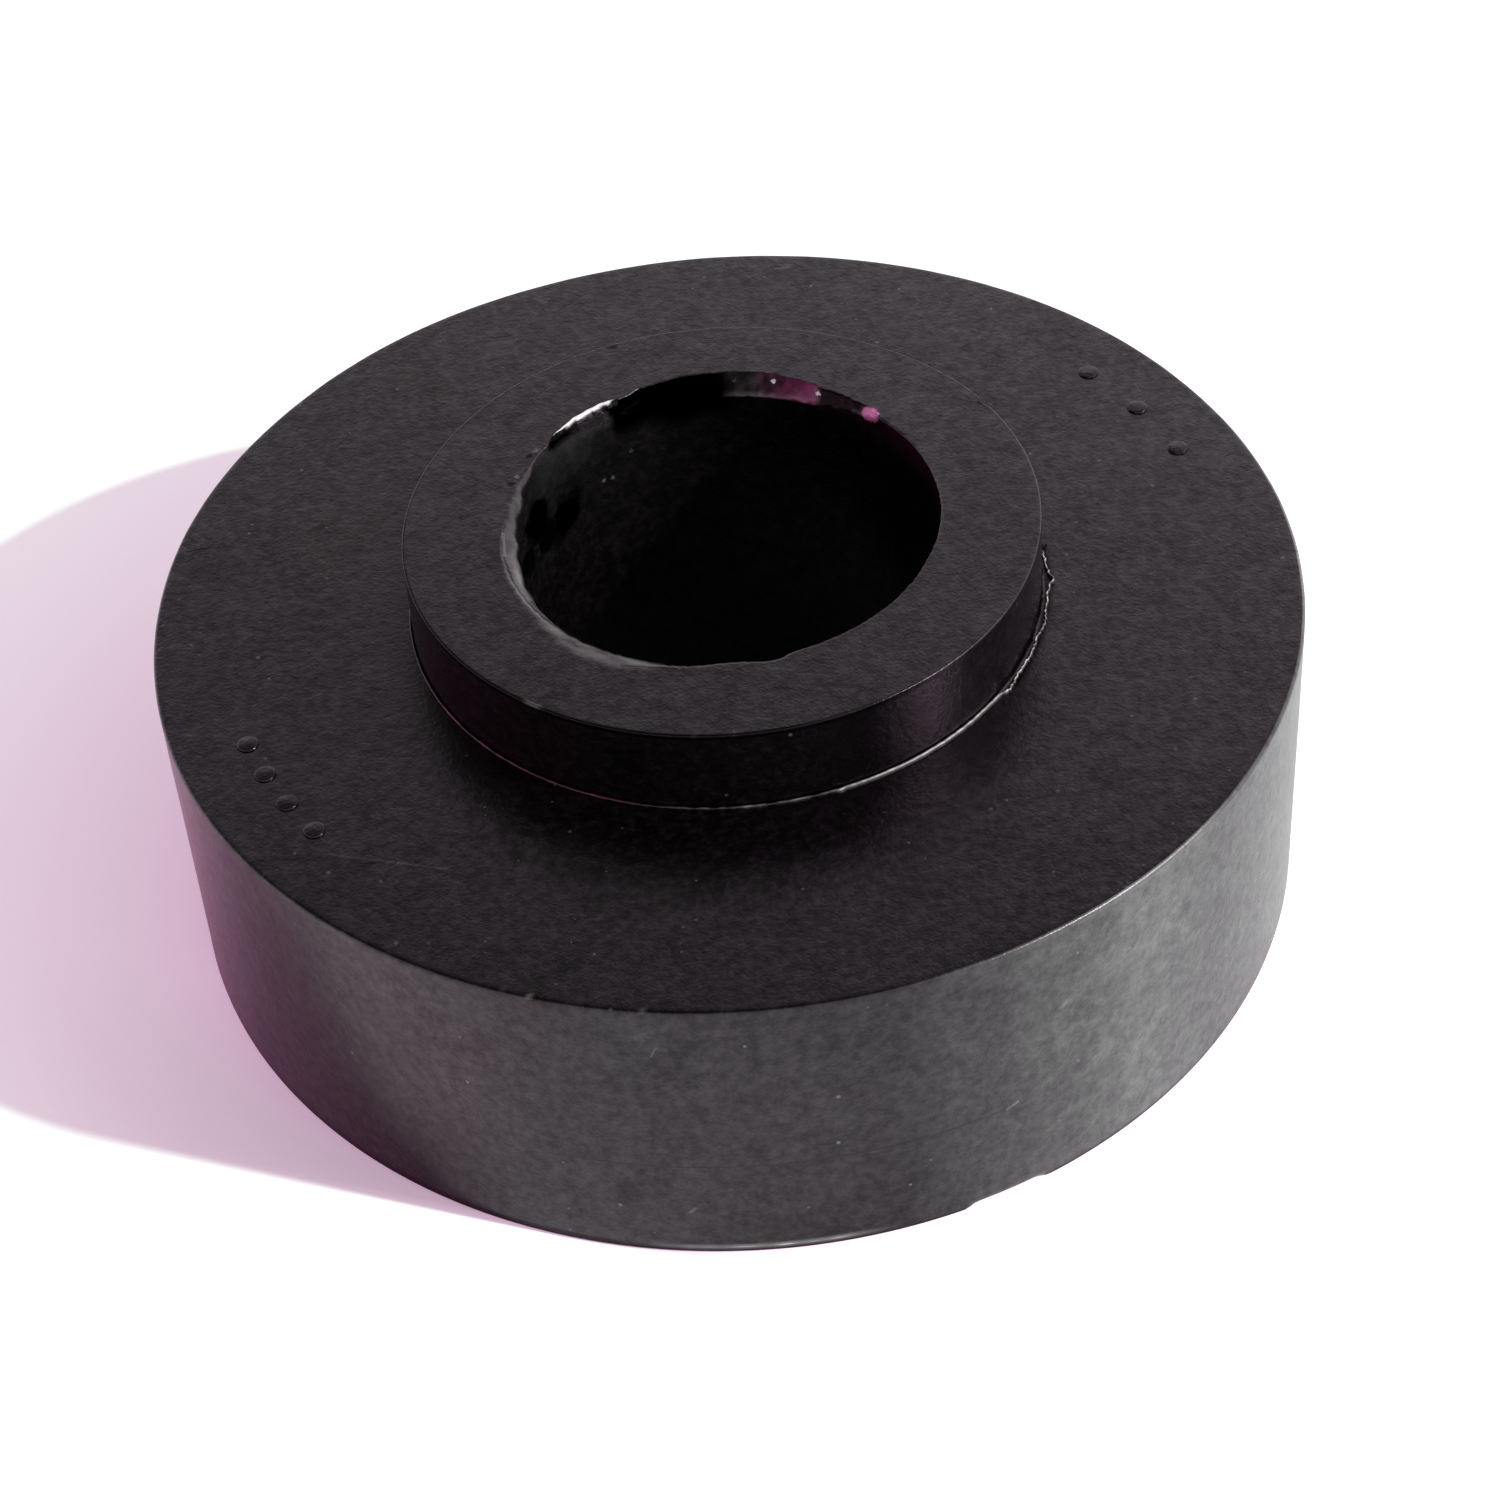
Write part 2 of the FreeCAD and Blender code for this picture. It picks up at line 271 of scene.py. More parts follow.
def painted_foot_shade(turn, radius, height):
    """State of the disc's top: painted shade close round the foot of the boss, beside the fin on the right
    and spreading to the left and the front right.
    """
    painted_shade = 0.0
    off = radius - boss_radius
    if height < disc_top + 0.05 * MM:
        if 0.1 * MM < off < 0.8 * MM:
            painted_shade += 0.8 * between(turn, 326, 6, 4)
        if 0.1 * MM < off and radius < disc_radius - 2 * MM:
            fading = max(0, 1 - off / (4.5 * MM))
            painted_shade += fading * (0.50 * between(turn, 135, 235, 40) + 0.60 * between(turn, 284, 322, 24))
    return Vector((0, painted_shade, 0, 0))


def rubbed_rims(turn, radius, height):
    """New radius, height and state of the disc's rims: pale scuffs, a shaving, painted shade along the upper
    rim at the right and along the foot, and a pale line low in front, partly trimmed flash and partly
    painted highlight.
    """
    wear_and_highlight = painted_shade = 0.0
    inside = disc_radius - radius
    if inside < 0.25 * MM and abs(height - disc_top) < 0.25 * MM:
        # Painted shade on the upper rim at the right, to dull the lamp's glint
        painted_shade += 0.30 * between(turn, 286, 350, 12)
        for scuff in RIM_SCUFFS:
            wear_and_highlight += 0.35 * between(turn, scuff - 0.1, scuff + 0.1, 0.3) * (height > disc_top - 0.12 * MM)
    if height < 0.5 * MM and inside < 0.5 * MM:
        shaving = between(turn, 289.0, 297.2, 1.6)
        short = SHAVING_HEIGHT * shaving - inside - height
        if short > 0:
            radius -= short / 2
            height += short / 2
            wear_and_highlight += shaving
        # Painted shade along the foot, deepest at the left front
        painted_shade += 0.8 * (height < 0.22 * MM) + 0.7 * between(turn, 195, 258, 8) * (height < 0.45 * MM)
    # A pale line low on the front: partly trimmed flash, partly painted highlight
    if 0.25 * MM < height < 0.62 * MM and radius > disc_radius - 0.5 * MM:
        wear_and_highlight += 0.75 * between(turn, 260, 279, 6) * (0.9 + 0.3 * ripple(turn, 30, 3.9))
    return radius, height, Vector((wear_and_highlight, painted_shade, 0, 0))


def bloom_and_light_at(turn, radius, height):
    """How pale the side of the disc is: a chalky bloom, with painted light strongest on the side facing the
    lamp and on its upper rim at the right.
    """
    if radius < disc_radius - 0.15 * MM:
        return 0.0
    on_rim = abs(height - disc_top) < 0.22 * MM
    return along(turn, SIDE_BLOOM_AND_LIGHT) * (1 + 1.2 * on_rim * between(turn, 286, 330, 12))


def turned(turn, radius, height):
    """Point at a direction in degrees, a radius and a height."""
    angle = math.radians(turn)
    return Vector((radius * math.cos(angle), radius * math.sin(angle), height))


# The state of the skin is kept at each point: pale from wear and from painted highlights, painted shade, a
# painted pink cast, and polish
condition = body.verts.layers.float_color.new("condition")
bloom_and_light = body.verts.layers.float.new("bloom_and_light")
for vert in body.verts:
    turn = math.degrees(math.atan2(vert.co.y, vert.co.x)) % 360
    out = math.hypot(vert.co.x, vert.co.y) - bore_radius
    down = boss_top - vert.co.z
    state = Vector((0, 0, 0, 0))
    if out < MOUTH_SPAN and down < MOUTH_SPAN:
        out, down, state = worn_mouth(vert.co, turn, out, down)
    if out < 0.2 * MM and down > 0.05 * MM:
        state += bore_state(turn, down)
    radius, rubbed = rubbed_boss(turn, bore_radius + out, boss_top - down)
    state += rubbed + painted_foot_shade(turn, radius, boss_top - down)
    radius, height, rubbed = rubbed_rims(turn, radius, boss_top - down)
    state += rubbed
    vert[condition] = [min(1, max(0, value)) for value in state]
    vert[bloom_and_light] = bloom_and_light_at(turn, radius, height)

    # Whole skin but the foot, which stands flat
    if height > FLAT_FOOT:
        off = unevenness(turned(turn, radius, height))
        height += off
        radius += off
    vert.co = turned(turn, radius, height)

body_mesh = bpy.data.meshes.new("moulded_cushion")
body.to_mesh(body_mesh)
body.free()
body_mesh.shade_smooth()
cushion = bpy.data.objects.new("moulded_cushion", body_mesh)
bpy.context.scene.collection.objects.link(cushion)
weighted = cushion.modifiers.new("weighted_normals", "WEIGHTED_NORMAL")
weighted.keep_sharp = True
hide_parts("cushion")
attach(cushion, "root")


def add_node(tree, kind, values=(), **settings):
    """Node with its settings, and with constants or links for its inputs by name or number."""
    node = tree.nodes.new(kind)
    for name, setting in settings.items():
        setattr(node, name, setting)
    for name, value in dict(values).items():
        if isinstance(value, bpy.types.NodeSocket):
            tree.links.new(value, node.inputs[name])
        else:
            node.inputs[name].default_value = value
    return node


def new_group(name, inputs, outputs):
    """Shader node group with named float, colour or vector sockets."""
    group = bpy.data.node_groups.new(name, "ShaderNodeTree")
    for socket, kind in inputs:
        group.interface.new_socket(socket, in_out="INPUT", socket_type="NodeSocket" + kind)
    for socket, kind in outputs:
        group.interface.new_socket(socket, in_out="OUTPUT", socket_type="NodeSocket" + kind)
    return group, group.nodes.new("NodeGroupInput").outputs, group.nodes.new("NodeGroupOutput").inputs


def math_node(tree, operation, first, second=0.0, third=0.0):
    """Result of one maths node."""
    return add_node(tree, "ShaderNodeMath", {0: first, 1: second, 2: third}, operation=operation).outputs[0]


def vector_node(tree, operation, first, second=(0, 0, 0), output=0):
    """Result of one vector maths node."""
    return add_node(tree, "ShaderNodeVectorMath", {0: first, 1: second}, operation=operation).outputs[output]


def mapped(tree, value, low, high, to_low=0.0, to_high=1.0):
    """Value taken from one range to another, and held inside it."""
    values = {"Value": value, "From Min": low, "From Max": high, "To Min": to_low, "To Max": to_high}
    return add_node(tree, "ShaderNodeMapRange", values).outputs["Result"]


def mixed(tree, share, first, second):
    """Colour between two colours."""
    node = add_node(tree, "ShaderNodeMix", data_type="RGBA")
    for number, value in ((0, share), (6, first), (7, second)):
        if isinstance(value, bpy.types.NodeSocket):
            tree.links.new(value, node.inputs[number])
        else:
            node.inputs[number].default_value = value
    return node.outputs[2]


def placed(tree, group, place, **values):
    """One use of a node group at a place, with its own values by name."""
    node = add_node(tree, "ShaderNodeGroup", node_tree=group)
    tree.links.new(place, node.inputs["Place"])
    for name, value in values.items():
        if isinstance(value, bpy.types.NodeSocket):
            tree.links.new(value, node.inputs[name.replace("_", " ")])
        else:
            node.inputs[name.replace("_", " ")].default_value = value
    return node.outputs


# Rubber grain: fine pits and a soft orange peel as a height, and a cloudy mottle
grain_group, given, result = new_group(
    "rubber_grain", [("Place", "Vector"), ("Pit Size", "Float"), ("Mottle Size", "Float")],
    [("Height", "Float"), ("Mottle", "Float")])
per_pit = math_node(grain_group, "DIVIDE", 1.0, given["Pit Size"])
per_mottle = math_node(grain_group, "DIVIDE", 1.0, given["Mottle Size"])
pits = add_node(grain_group, "ShaderNodeTexNoise",
                {"Vector": given["Place"], "Scale": per_pit, "Detail": 2.0, "Roughness": 0.65})
cloud = add_node(grain_group, "ShaderNodeTexNoise",
                 {"Vector": given["Place"], "Scale": per_mottle, "Detail": 4.0, "Roughness": 0.75})
grain_group.links.new(pits.outputs[0], result["Height"])
grain_group.links.new(cloud.outputs[0], result["Mottle"])

# Dust: specks scattered thinly, some fainter than others, as a mask
dust_group, given, result = new_group(
    "dust_specks", [("Place", "Vector"), ("Spacing", "Float"), ("Speck", "Float"), ("Share", "Float")],
    [("Mask", "Float")])
per_cell = math_node(dust_group, "DIVIDE", 1.0, given["Spacing"])
cells = add_node(dust_group, "ShaderNodeTexVoronoi", {"Vector": given["Place"], "Scale": per_cell})
cell_value = add_node(dust_group, "ShaderNodeSeparateColor", {"Color": cells.outputs["Color"]})
chosen = math_node(dust_group, "LESS_THAN", cell_value.outputs[0], given["Share"])
reach = math_node(dust_group, "MULTIPLY", given["Speck"], per_cell)
reach = math_node(dust_group, "MULTIPLY", reach, math_node(dust_group, "ADD", cell_value.outputs[1], 0.4))
near = math_node(dust_group, "LESS_THAN", cells.outputs["Distance"], reach)
speck = math_node(dust_group, "MULTIPLY", chosen, near)
faintness = math_node(dust_group, "POWER", cell_value.outputs[2], 2.0)
dust_group.links.new(math_node(dust_group, "MULTIPLY", speck, faintness), result["Mask"])

# Smudge: a spot round a point, made ragged by a noise, as a mask
smudge_group, given, result = new_group(
    "smudge", [("Place", "Vector"), ("Centre", "Vector"), ("Size", "Float"), ("Ragged", "Float"),
               ("Tatter", "Float")], [("Mask", "Float")])
away = vector_node(smudge_group, "DISTANCE", given["Place"], given["Centre"], output=1)
away = math_node(smudge_group, "DIVIDE", away, given["Size"])
tatter = mapped(smudge_group, given["Tatter"], 0.3, 0.7, -1, 1)
away = math_node(smudge_group, "ADD", away, math_node(smudge_group, "MULTIPLY", tatter, given["Ragged"]))
smudge_group.links.new(mapped(smudge_group, away, 1.0, 0.6), result["Mask"])

# Scratch: a thin line between two points, as a mask
scratch_group, given, result = new_group(
    "scratch", [("Place", "Vector"), ("From", "Vector"), ("To", "Vector"), ("Width", "Float")],
    [("Mask", "Float")])
course = vector_node(scratch_group, "SUBTRACT", given["To"], given["From"])
reached = vector_node(scratch_group, "SUBTRACT", given["Place"], given["From"])
share = math_node(scratch_group, "DIVIDE",
                  vector_node(scratch_group, "DOT_PRODUCT", reached, course, output=1),
                  vector_node(scratch_group, "DOT_PRODUCT", course, course, output=1))
foot = add_node(scratch_group, "ShaderNodeVectorMath", {0: course}, operation="SCALE")
scratch_group.links.new(mapped(scratch_group, share, 0.0, 1.0), foot.inputs["Scale"])
beside = vector_node(scratch_group, "DISTANCE", reached, foot.outputs[0], output=1)
beside = math_node(scratch_group, "DIVIDE", beside, given["Width"])
scratch_group.links.new(mapped(scratch_group, beside, 0.5, 0.3), result["Mask"])


def on_skin(turn, radius, height):
    """Point on the uneven skin at a direction in degrees."""
    off = unevenness(turned(turn, radius, height))
    return turned(turn, radius + off, height + off)


def in_mouth(turn, out, down):
    """Point on the bore, its mouth or the boss: mm outside the bore and mm below the boss."""
    return on_skin(turn, bore_radius + out * MM, boss_top - down * MM)


def on_top(turn, radius):
    """Point on top of the disc, at a radius in mm."""
    return on_skin(turn, radius * MM, disc_top)


def on_side(turn, height):
    """Point on the side of the disc, at a height in mm."""
    return on_skin(turn, disc_radius, height * MM)


# Moulded rubber: near black with a brown-purple sheen, matt, paler where it is worn and where a highlight is
# painted, with painted shade and a painted magenta cast where its state holds them
rubber = bpy.data.materials.new("moulded_rubber")
rubber.use_nodes = True
tree = rubber.node_tree
shader = tree.nodes["Principled BSDF"]
place = add_node(tree, "ShaderNodeTexCoord").outputs["Object"]
attribute = add_node(tree, "ShaderNodeAttribute", attribute_name="condition")
state = add_node(tree, "ShaderNodeSeparateColor", {"Color": attribute.outputs["Color"]})
worn_and_highlit, painted_shade_share, painted_pink_share = state.outputs[0], state.outputs[1], state.outputs[2]
polished = attribute.outputs["Alpha"]
bloom_light_share = add_node(tree, "ShaderNodeAttribute", attribute_name="bloom_and_light").outputs["Fac"]
place_parts = add_node(tree, "ShaderNodeSeparateXYZ", {0: place}).outputs
flat_place = add_node(tree, "ShaderNodeCombineXYZ", {0: place_parts["X"], 1: place_parts["Y"]}).outputs[0]
from_axis = vector_node(tree, "LENGTH", flat_place, output=1)
skin = placed(tree, grain_group, place, Pit_Size=0.20 * MM, Mottle_Size=0.60 * MM)
drift = placed(tree, grain_group, place, Pit_Size=1.6 * MM, Mottle_Size=6.0 * MM)
black_rubber = (0.0002, 0.0001, 0.0002, 1)
brown_rubber = (0.0060, 0.0042, 0.0054, 1)
bloom_light_grey = (0.150, 0.152, 0.151, 1)
worn_rubber = (0.135, 0.130, 0.130, 1)
bare_edge_and_highlight = (0.52, 0.51, 0.50, 1)
painted_magenta = (0.22, 0.018, 0.10, 1)
dust_white = (0.30, 0.29, 0.29, 1)
pit_and_shade_black = (0.0001, 0.0001, 0.0001, 1)
cast = mixed(tree, mapped(tree, skin["Mottle"], 0.46, 0.72), black_rubber, brown_rubber)
bloom_light_mask = math_node(tree, "MULTIPLY", bloom_light_share, mapped(tree, drift["Mottle"], 0.30, 0.64, 0.72, 1.0))
bloom_light_mask = math_node(tree, "MULTIPLY", bloom_light_mask, mapped(tree, drift["Height"], 0.32, 0.66, 0.84, 1.0))
bloom_light_mask = math_node(tree, "MULTIPLY", bloom_light_mask, mapped(tree, skin["Mottle"], 0.30, 0.68, 0.58, 1.0))
# Chalky bloom, partly painted light on the side toward the lamp
cast = mixed(tree, bloom_light_mask, cast, bloom_light_grey)
cast = mixed(tree, mapped(tree, worn_and_highlit, 0.0, 0.6), cast, worn_rubber)
cast = mixed(tree, mapped(tree, worn_and_highlit, 0.6, 1.0), cast, bare_edge_and_highlight)
# Painted magenta cast, then painted shade, from the skin's state
cast = mixed(tree, painted_pink_share, cast, painted_magenta)
cast = mixed(tree, painted_shade_share, cast, pit_and_shade_black)

# Dust: on the skin, but not in the bore
dust = placed(tree, dust_group, place, Spacing=0.90 * MM, Speck=0.085 * MM, Share=0.30)["Mask"]
dustiness = mapped(tree, from_axis, bore_radius + 0.4 * MM, bore_radius + 0.6 * MM, 0.0, 0.42)
dust = math_node(tree, "MULTIPLY", dust, dustiness)
cast = mixed(tree, dust, cast, dust_white)

# Knocks, stains, dark patches and a painted lilac glint of this cushion: centre, size in mm, raggedness,
# strength and colour
olive_stain = (0.012, 0.011, 0.004, 1)
# Painted highlight: the lilac glint on the torn mouth
lilac_glint = (0.55, 0.12, 0.34, 1)
SMUDGES = [
    # Dark patches on the left wall of the bore
    (in_mouth(150.0, 0.00, 4.10), 1.60, 0.35, 0.9, pit_and_shade_black),
    (in_mouth(137.5, 0.00, 5.60), 1.75, 0.35, 0.9, pit_and_shade_black),
    (in_mouth(145.0, 0.00, 5.60), 1.40, 0.35, 0.7, pit_and_shade_black),
    (in_mouth(157.0, 0.00, 6.00), 1.10, 0.35, 0.7, pit_and_shade_black),
    (in_mouth(108.6, 5.20, 0.00), 0.70, 0.7, 0.8, pit_and_shade_black),
    (on_top(113.0, 18.4), 1.90, 0.9, 0.5, olive_stain),
    (on_top(103.5, 19.2), 2.10, 0.9, 0.4, olive_stain),
    (in_mouth(147.3, 0.35, 0.00), 0.25, 0.4, 0.9, pit_and_shade_black),
    (in_mouth(159.0, 0.25, 0.00), 0.24, 0.4, 0.9, pit_and_shade_black),
    (in_mouth(144.6, 0.30, 0.00), 0.17, 0.4, 0.40, worn_rubber),
    (in_mouth(155.9, 0.20, 0.00), 0.17, 0.4, 0.40, worn_rubber),
    (in_mouth(73.6, 0.75, 0.30), 0.17, 0.4, 0.8, bare_edge_and_highlight),
    (in_mouth(60.5, 0.42, 0.30), 0.19, 0.4, 0.8, bare_edge_and_highlight),
    (in_mouth(83.5, 0.80, 0.40), 0.20, 0.6, 0.30, worn_rubber),
    (in_mouth(80.0, 0.70, 0.50), 0.14, 0.6, 0.25, worn_rubber),
    # Painted highlight: a lilac glint on the torn mouth
    (in_mouth(44.7, 0.15, 0.25), 0.42, 0.15, 0.9, lilac_glint),
    (in_mouth(43.3, 0.15, 0.22), 0.46, 0.15, 1.0, lilac_glint),
    (in_mouth(41.7, 0.12, 0.18), 0.38, 0.15, 0.9, lilac_glint),
    (in_mouth(113.8, 0.00, 3.50), 0.16, 0.3, 0.25, worn_rubber),
    (in_mouth(120.1, 0.00, 4.90), 0.15, 0.3, 0.55, worn_rubber),
    (in_mouth(123.0, 0.00, 4.80), 0.15, 0.3, 0.55, worn_rubber),
    (on_top(4.4, 17.75), 0.42, 0.6, 1.0, pit_and_shade_black),
    (in_mouth(173.0, 2.30, 0.00), 0.30, 0.8, 0.7, pit_and_shade_black),
    (on_side(-100.6, 16.8), 0.45, 0.9, 0.12, worn_rubber),
    (on_side(-53.0, 17.9), 0.60, 0.9, 0.35, worn_rubber),
    (on_side(-60.6, 12.9), 0.26, 0.5, 0.60, worn_rubber),
    (on_side(-59.1, 8.0), 0.20, 0.5, 0.60, worn_rubber),
]
shade = mapped(tree, skin["Mottle"], 0.36, 0.66, 0.36, 0.0)
shade = math_node(tree, "ADD", shade, mapped(tree, drift["Height"], 0.35, 0.65, 0.19, 0.0))
shade = math_node(tree, "MULTIPLY", shade, mapped(tree, worn_and_highlit, 0.0, 0.5, 1.0, 0.0))
# Painted shade and dark marks darken through Metallic, as does the darker random tone
dark = math_node(tree, "MAXIMUM", painted_shade_share, shade)
for centre, size, ragged, strength, colour in SMUDGES:
    tatter = drift["Height"] if size > 0.6 else skin["Height"]
    mask = placed(tree, smudge_group, place, Centre=centre, Size=size * MM, Ragged=ragged,
                  Tatter=tatter)["Mask"]
    mask = math_node(tree, "MULTIPLY", mask, strength)
    cast = mixed(tree, mask, cast, colour)
    if colour == pit_and_shade_black:
        dark = math_node(tree, "MAXIMUM", dark, mask)

# Scratches of this cushion: from, to, width in mm, strength and colour
SCRATCHES = [
    (on_top(167.4, 31.1), on_top(166.4, 29.9), 0.16, 0.7, pit_and_shade_black),
    (on_top(81.6, 30.2), on_top(79.8, 30.5), 0.14, 0.30, worn_rubber),
    (on_top(221.0, 28.3), on_top(233.0, 25.4), 0.14, 0.12, worn_rubber),
    (on_side(-66.9, 6.85), on_side(-65.8, 7.1), 0.22, 0.7, worn_rubber),
    (in_mouth(243.5, 0.75, 0.00), in_mouth(257.0, 0.35, 0.00), 0.12, 0.8, pit_and_shade_black),
    (in_mouth(179.5, -0.14, 0.05), in_mouth(188.5, -0.08, 0.05), 0.22, 0.5, worn_rubber),
    (on_side(-97.7, 3.3), on_side(-97.2, 3.6), 0.22, 0.35, worn_rubber),
    (on_side(-99.8, 15.3), on_side(-99.3, 15.9), 0.16, 0.30, worn_rubber),
]
for start, end, width, strength, colour in SCRATCHES:
    mask = placed(tree, scratch_group, place, From=start, To=end, Width=width * MM)["Mask"]
    mask = math_node(tree, "MULTIPLY", mask, strength)
    cast = mixed(tree, mask, cast, colour)
    if colour == pit_and_shade_black:
        dark = math_node(tree, "MAXIMUM", dark, mask)

# Mould line: a faint step round the side, where the two halves of the mould met
MOULD_LINE = 6.9 * MM
MOULD_LINE_WIDTH = 0.12 * MM
off_line = math_node(tree, "ABSOLUTE", math_node(tree, "SUBTRACT", place_parts["Z"], MOULD_LINE))
on_line = math_node(tree, "LESS_THAN", off_line, MOULD_LINE_WIDTH / 2)
on_side = math_node(tree, "GREATER_THAN", from_axis, disc_radius - 1 * MM)
step_mask = math_node(tree, "MULTIPLY", on_line, on_side)
in_front = mapped(tree, place_parts["Y"], -30 * MM, -27 * MM, 0.4, 0.0)
step_mask = math_node(tree, "MULTIPLY", step_mask, in_front)
cast = mixed(tree, step_mask, cast, pit_and_shade_black)
dark = math_node(tree, "MAXIMUM", dark, step_mask)
tree.links.new(cast, shader.inputs["Base Color"])

roughness = mapped(tree, skin["Mottle"], 0.36, 0.68, 0.27, 0.21)
roughness = math_node(tree, "ADD", roughness, math_node(tree, "MULTIPLY", worn_and_highlit, 0.25))
roughness = math_node(tree, "ADD", roughness, math_node(tree, "MULTIPLY", bloom_light_mask, 0.16))
roughness = math_node(tree, "SUBTRACT", roughness, math_node(tree, "MULTIPLY", polished, 0.08))
tree.links.new(roughness, shader.inputs["Roughness"])
tree.links.new(dark, shader.inputs["Metallic"])
shader.inputs["IOR"].default_value = 1.58
shader.inputs["Specular Tint"].default_value = (1.0, 0.82, 0.95, 1)
relief_height = math_node(tree, "ADD", math_node(tree, "MULTIPLY", skin["Height"], 0.5), skin["Mottle"])
relief = add_node(tree, "ShaderNodeBump", {"Strength": 0.8, "Distance": 0.035 * MM, "Height": relief_height})
tree.links.new(relief.outputs["Normal"], shader.inputs["Normal"])
body_mesh.materials.append(rubber)


# Foot flash
# Rubber squeezed between the mould halves stands as a fin round the foot of the boss. It is smooth and pale
# in front, torn to a thread that wanders off the wall on the right, and nearly gone behind. Its paleness
# where the lamp falls on it is partly a painted highlight, and its left has a painted pink cast.
FLASH_STEPS = 1500
FIN_HEIGHT = 0.20 * MM
FIN_SINK = 0.05 * MM
FIN_WIDTH = 0.12 * MM

# By direction: how far the crest stands off the boss in mm, and its share of the fin's height
CREST_PLACE = [(3.5, 0.30), (359.4, 0.32), (356.7, 0.46), (355.3, 0.64), (353.6, 0.42), (350.7, 0.32),
               (346.8, 0.36), (343.7, 0.44), (341.6, 0.38), (339.9, 0.27), (337.0, 0.31), (334.3, 0.34),
               (331.8, 0.28), (329.4, 0.29), (327.7, 0.33), (325.7, 0.42), (324.4, 0.38), (323.4, 0.16),
               (320, 0.13), (288.2, 0.13), (287.0, 0.20), (285.8, 0.13), (180, 0.12), (60, 0.10)][::-1]
CREST_HEIGHT = [(6, 0.0), (60, 0.12), (150, 0.15), (200, 0.70), (250, 0.70), (262, 0.85), (290, 1.0),
                (323, 1.0), (325, 1.15), (328, 0.85), (340, 1.0), (355, 1.1), (1, 0.9)]

fin_section = [(-0.5 * FIN_WIDTH, -FIN_SINK), (-0.36 * FIN_WIDTH, 0.6 * FIN_HEIGHT),
               (-0.22 * FIN_WIDTH, FIN_HEIGHT), (0.22 * FIN_WIDTH, FIN_HEIGHT),
               (0.42 * FIN_WIDTH, 0.6 * FIN_HEIGHT), (0.7 * FIN_WIDTH, -FIN_SINK)]
fin = bmesh.new()
loop = [fin.verts.new((boss_radius + beside, 0, disc_top + rise)) for beside, rise in fin_section]
ring = fin.faces.new(loop)
bmesh.ops.delete(fin, geom=[ring], context="FACES_ONLY")
bmesh.ops.spin(fin, geom=list(fin.verts) + list(fin.edges), axis=(0, 0, 1), cent=(0, 0, 0),
               steps=FLASH_STEPS, angle=math.tau, use_merge=True, use_duplicate=False)
bmesh.ops.remove_doubles(fin, verts=list(fin.verts), dist=0.001 * MM)
bmesh.ops.recalc_face_normals(fin, faces=list(fin.faces))

condition = fin.verts.layers.float_color.new("condition")
for vert in fin.verts:
    radius = math.hypot(vert.co.x, vert.co.y)
    turn = math.degrees(math.atan2(vert.co.y, vert.co.x)) % 360
    rise = vert.co.z - disc_top
    ragged = between(turn, 324, 5, 1.5)
    bright = between(turn, 286, 324, 2)
    tall = along(turn, CREST_HEIGHT) * (1 + ragged * 0.25 * ripple(turn, 60, 3.3))
    if rise > 0:
        rise *= tall
        rise -= (1 - min(1, 8 * tall)) * FIN_SINK
    radius = boss_radius + (radius - boss_radius) * (1 + 0.6 * bright)
    radius += along(turn, CREST_PLACE) * MM + ragged * 0.05 * MM * ripple(turn, 90, 5.1)
    radius += (1 - ragged) * 0.012 * MM * ripple(turn, 40, 8.2)
    crest = vert.co.z > disc_top + 0.9 * FIN_HEIGHT
    dashes = max(0, ripple(turn, 26, 2.7))
    # Pale partly as a painted highlight where the lamp falls, at the front right and along the thread
    wear_and_highlight = bright * (0.70 + 0.14 * ripple(turn, 50, 6.1)) + ragged * (0.66 + 0.45 * ripple(turn, 70, 9.3))
    wear_and_highlight += between(turn, 262, 286, 10) * (0.16 + 0.3 * ripple(turn, 30, 1.7))
    wear_and_highlight = (wear_and_highlight + between(turn, 200, 262, 6) * 0.06 * dashes) * (1 if crest else 0.25)
    # Painted pink cast on the left
    painted_pink = between(turn, 196, 250, 6) * min(1, 0.25 + 1.2 * dashes) * crest
    vert.co = turned(turn, radius, disc_top + rise)
    vert[condition] = (min(1, max(0, wear_and_highlight)), 0, painted_pink, 0)

fin_mesh = bpy.data.meshes.new("foot_flash")
fin.to_mesh(fin_mesh)
fin.free()
fin_mesh.shade_smooth()
fin_mesh.materials.append(rubber)
foot_flash = bpy.data.objects.new("foot_flash", fin_mesh)
bpy.context.scene.collection.objects.link(foot_flash)
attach(foot_flash, "root")


# Cavity dots
# Two short rows of low flat dots stand on top of the disc near its rim. The mould maker mills them into
# the mould as a plain count of its cavities, so they come out raised, with a thin soft edge.
DOT_RADIUS = 0.56 * MM
DOT_RISE = 0.12 * MM
DOT_SINK = 0.10 * MM
DOT_EDGE = 0.05 * MM
DOT_FLARE = 0.06 * MM

# First and last direction of each row, its number of dots and its radius
DOT_ROWS = [(19.5, 37.5, 3, 28.0 * MM), (200.5, 217.0, 4, 27.8 * MM)]

dots = bmesh.new()
for first, last, count, row_radius in DOT_ROWS:
    for number in range(count):
        centre = turned(first + (last - first) * number / (count - 1), row_radius, disc_top)
        centre.z += unevenness(centre) + (DOT_RISE - DOT_SINK) / 2
        bmesh.ops.create_cone(dots, cap_ends=True, segments=56, radius1=DOT_RADIUS + DOT_FLARE,
                              radius2=DOT_RADIUS, depth=DOT_RISE + DOT_SINK,
                              matrix=Matrix.Translation(centre))
upper_edges = [edge for edge in dots.edges
               if min(vert.co.z for vert in edge.verts) > disc_top + 0.3 * DOT_RISE]
bmesh.ops.bevel(dots, geom=upper_edges, offset=DOT_EDGE, segments=3, profile=0.5, affect="EDGES",
                material=-1)
dots_mesh = bpy.data.meshes.new("cavity_dots")
dots.to_mesh(dots_mesh)
dots.free()
dots_mesh.shade_smooth()
